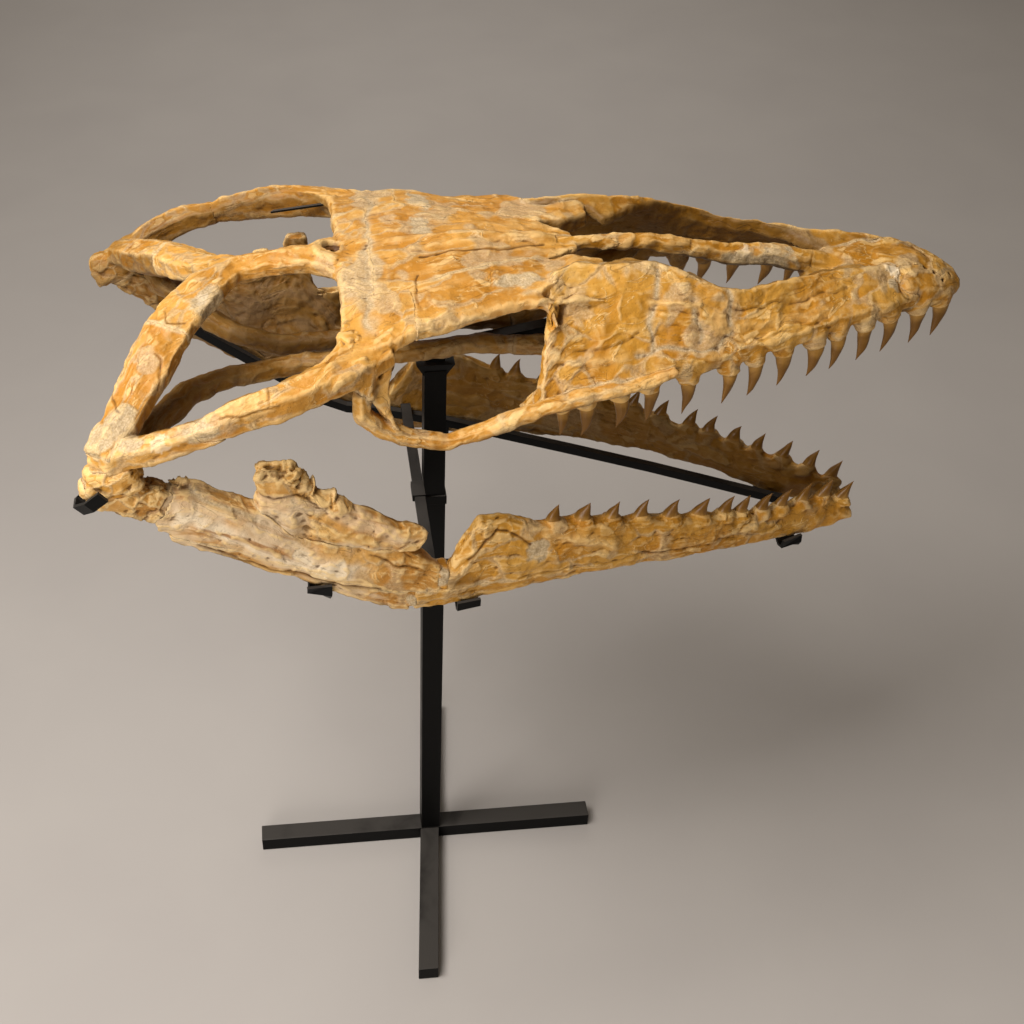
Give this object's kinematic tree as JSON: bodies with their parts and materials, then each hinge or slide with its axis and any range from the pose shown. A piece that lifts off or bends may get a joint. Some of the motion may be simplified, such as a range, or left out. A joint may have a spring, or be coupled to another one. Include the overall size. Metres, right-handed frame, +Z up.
{
  "type": "fossil mosasaur skull on a stand",
  "caption": "Life-size fossil mosasaur skull with open jaws and conical teeth, held on a black steel cross-base museum stand.",
  "frame": {"origin": "on the floor, at the middle of the cross base, under the post", "axes": "+X along the midline to the snout, +Y to the animal's left, +Z up"},
  "size_m": [1.0909, 0.538, 1.112],
  "materials": {
    "skull_bone": "varnished fossil bone, satin",
    "jaw_bone": "varnished fossil bone with chalky patches, satin",
    "steel": "black satin paint"
  },
  "bodies": {
    "root": {"premaxilla": "skull_bone", "frontal": "skull_bone", "parietal": "skull_bone", "maxilla_right": "skull_bone", "prefrontal_right": "skull_bone", "postorbitofrontal_right": "skull_bone", "supratemporal_right": "skull_bone", "squamosal_right": "skull_bone", "jugal_right": "skull_bone", "palatine_right": "skull_bone", "pterygoid_right": "skull_bone", "quadrate_right": "jaw_bone", "articular_right": "jaw_bone", "angular_right": "jaw_bone", "splenial_right": "jaw_bone", "coronoid_right": "jaw_bone", "surangular_right": "jaw_bone", "dentary_right": "jaw_bone", "maxilla_left": "skull_bone", "prefrontal_left": "skull_bone", "postorbitofrontal_left": "skull_bone", "supratemporal_left": "skull_bone", "squamosal_left": "skull_bone", "jugal_left": "skull_bone", "palatine_left": "skull_bone", "pterygoid_left": "skull_bone", "quadrate_left": "jaw_bone", "articular_left": "jaw_bone", "angular_left": "jaw_bone", "splenial_left": "jaw_bone", "coronoid_left": "jaw_bone", "surangular_left": "jaw_bone", "dentary_left": "jaw_bone", "stand_base_bar": "steel", "stand_base_front": "steel", "stand_base_back": "steel", "stand_post_lower": "steel", "stand_post_upper": "steel", "stand_palate_bar": "steel", "stand_cross_bar": "steel", "stand_cradle_right": "steel", "stand_cradle_left": "steel", "stand_roof_strip": "steel"}
  },
  "joints": []
}
